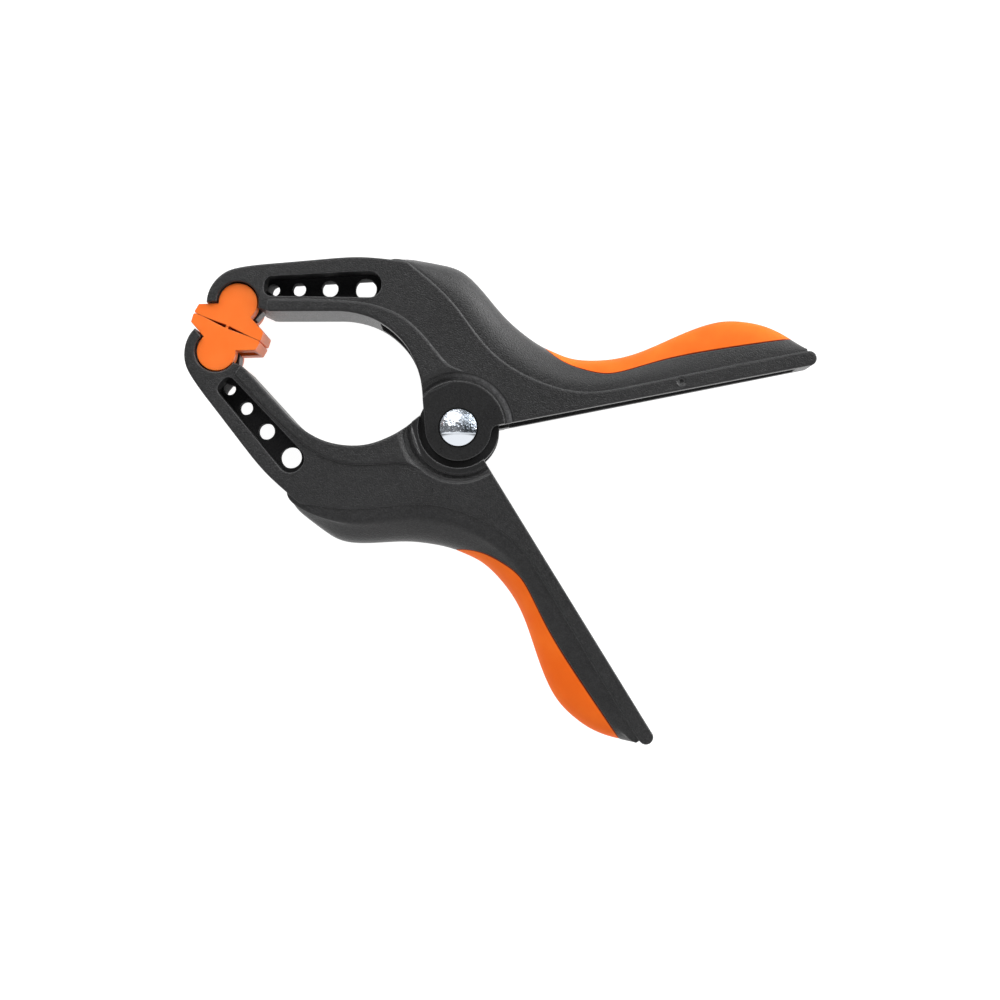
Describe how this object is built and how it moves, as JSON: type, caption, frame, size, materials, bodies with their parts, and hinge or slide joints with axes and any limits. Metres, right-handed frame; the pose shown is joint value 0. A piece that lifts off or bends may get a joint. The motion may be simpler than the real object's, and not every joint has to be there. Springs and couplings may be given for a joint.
{
  "type": "spring clamp",
  "caption": "Hand spring clamp: crossed moulded arms on a domed rivet, pierced jaws with swivelling pads, soft handle grips, and a wound spring in the hub that holds the jaws shut.",
  "frame": {"origin": "middle of the closed gripping faces, in the clamp's middle plane", "axes": "+X along the clamp from the jaws to the handles, +Y towards the upper arm, +Z along the rivet towards its domed head; the clamp lies on its side"},
  "size_m": [0.15, 0.1128, 0.0223],
  "materials": {
    "arm_plastic": "charcoal glass-filled plastic with a fine spark-eroded texture",
    "grip_soft": "soft orange moulded elastomer, satin",
    "pad_plastic": "orange moulded plastic, satin",
    "rivet_steel": "bright zinc plate, polished dome",
    "washer_steel": "plain zinc plate",
    "spring_steel": "drawn spring wire"
  },
  "bodies": {
    "lower_lever": {"lower_arm": "arm_plastic", "lower_grip": "grip_soft", "pivot_rivet": "rivet_steel", "rivet_washer": "washer_steel", "torsion_spring": "spring_steel"},
    "upper_lever": {"upper_arm": "arm_plastic", "upper_grip": "grip_soft"},
    "upper_shoe": {"upper_pad": "pad_plastic"},
    "lower_shoe": {"lower_pad": "pad_plastic"}
  },
  "joints": [
    {"name": "jaw_hinge", "type": "hinge", "parent": "lower_lever", "child": "upper_lever", "pos_m": [0.06415, 0, 0], "axis": [0, 0, -1], "range_deg": [0, 50], "stiffness_Nm_per_rad": 0.97, "springref_deg": -51.57, "deforming": ["torsion_spring"]},
    {"name": "upper_pad_swivel", "type": "hinge", "parent": "upper_lever", "child": "upper_shoe", "pos_m": [0, 0.0068, 0], "axis": [0, 0, 1], "range_deg": [0, 25]},
    {"name": "lower_pad_swivel", "type": "hinge", "parent": "lower_lever", "child": "lower_shoe", "pos_m": [0, -0.0068, 0], "axis": [0, 0, -1], "range_deg": [0, 25]}
  ],
  "couplings": [
    {"joint": "upper_pad_swivel", "follows": "jaw_hinge", "ratio": 0.5},
    {"joint": "lower_pad_swivel", "follows": "jaw_hinge", "ratio": 0.5}
  ]
}
